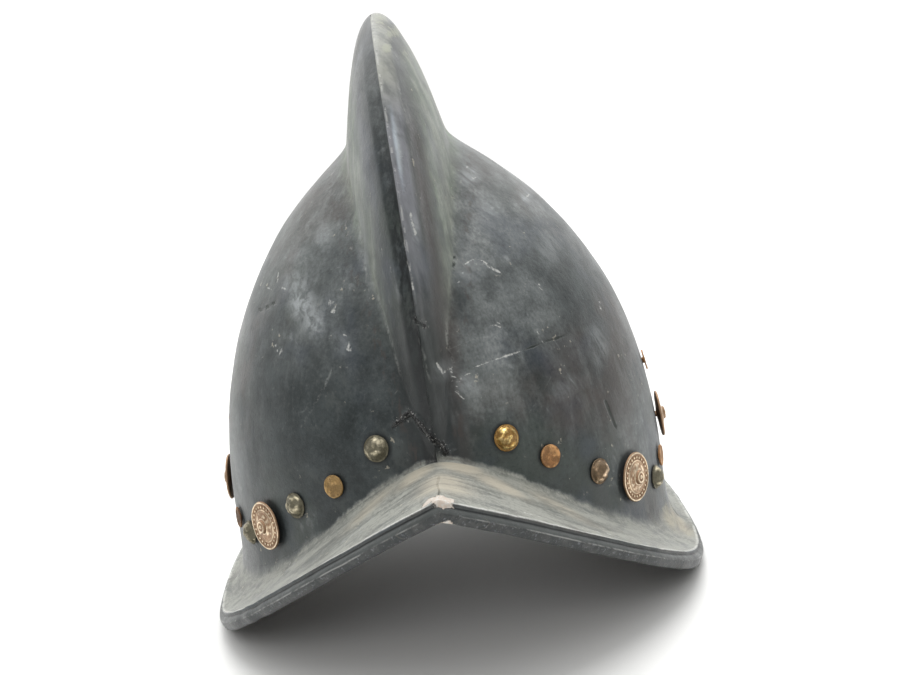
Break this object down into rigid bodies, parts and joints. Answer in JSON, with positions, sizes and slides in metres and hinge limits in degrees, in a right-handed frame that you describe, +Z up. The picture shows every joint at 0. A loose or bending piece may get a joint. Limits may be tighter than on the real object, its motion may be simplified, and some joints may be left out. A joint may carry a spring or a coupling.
{
  "type": "morion helmet",
  "caption": "Comb morion helmet: a hollow peaked skull with a tall crescent comb, a swept boat-shaped brim with a rolled edge, and a riveted row of studs, discs and rosettes.",
  "frame": {"origin": "centre of the footprint, on the plane that the brim's lowest edge rests on", "axes": "+Z up, the wearer looks along -Y, +X to the wearer's left"},
  "size_m": [0.2474, 0.3474, 0.2834],
  "materials": {
    "shell_paint": "satin black paint, scuffed",
    "bronze": "tarnished antique bronze",
    "disc_copper": "dull speckled copper"
  },
  "bodies": {
    "root": {"disc_back_1_left": "disc_copper", "disc_back_1_right": "disc_copper", "disc_back_2_left": "disc_copper", "disc_back_2_right": "disc_copper", "disc_ear_left": "disc_copper", "disc_ear_right": "disc_copper", "disc_front_1_left": "disc_copper", "disc_front_1_right": "disc_copper", "disc_front_2_left": "disc_copper", "disc_front_2_right": "disc_copper", "rosette_back_left": "bronze", "rosette_back_right": "bronze", "rosette_ear_left": "bronze", "rosette_ear_right": "bronze", "rosette_front_left": "bronze", "rosette_front_right": "bronze", "shell_left": "shell_paint", "shell_right": "shell_paint", "stud_back_1_left": "bronze", "stud_back_1_right": "bronze", "stud_back_2_left": "bronze", "stud_back_2_right": "bronze", "stud_back_3_left": "bronze", "stud_back_3_right": "bronze", "stud_front_1_left": "bronze", "stud_front_1_right": "bronze", "stud_front_2_left": "bronze", "stud_front_2_right": "bronze", "stud_front_3_left": "bronze", "stud_front_3_right": "bronze"}
  },
  "joints": []
}
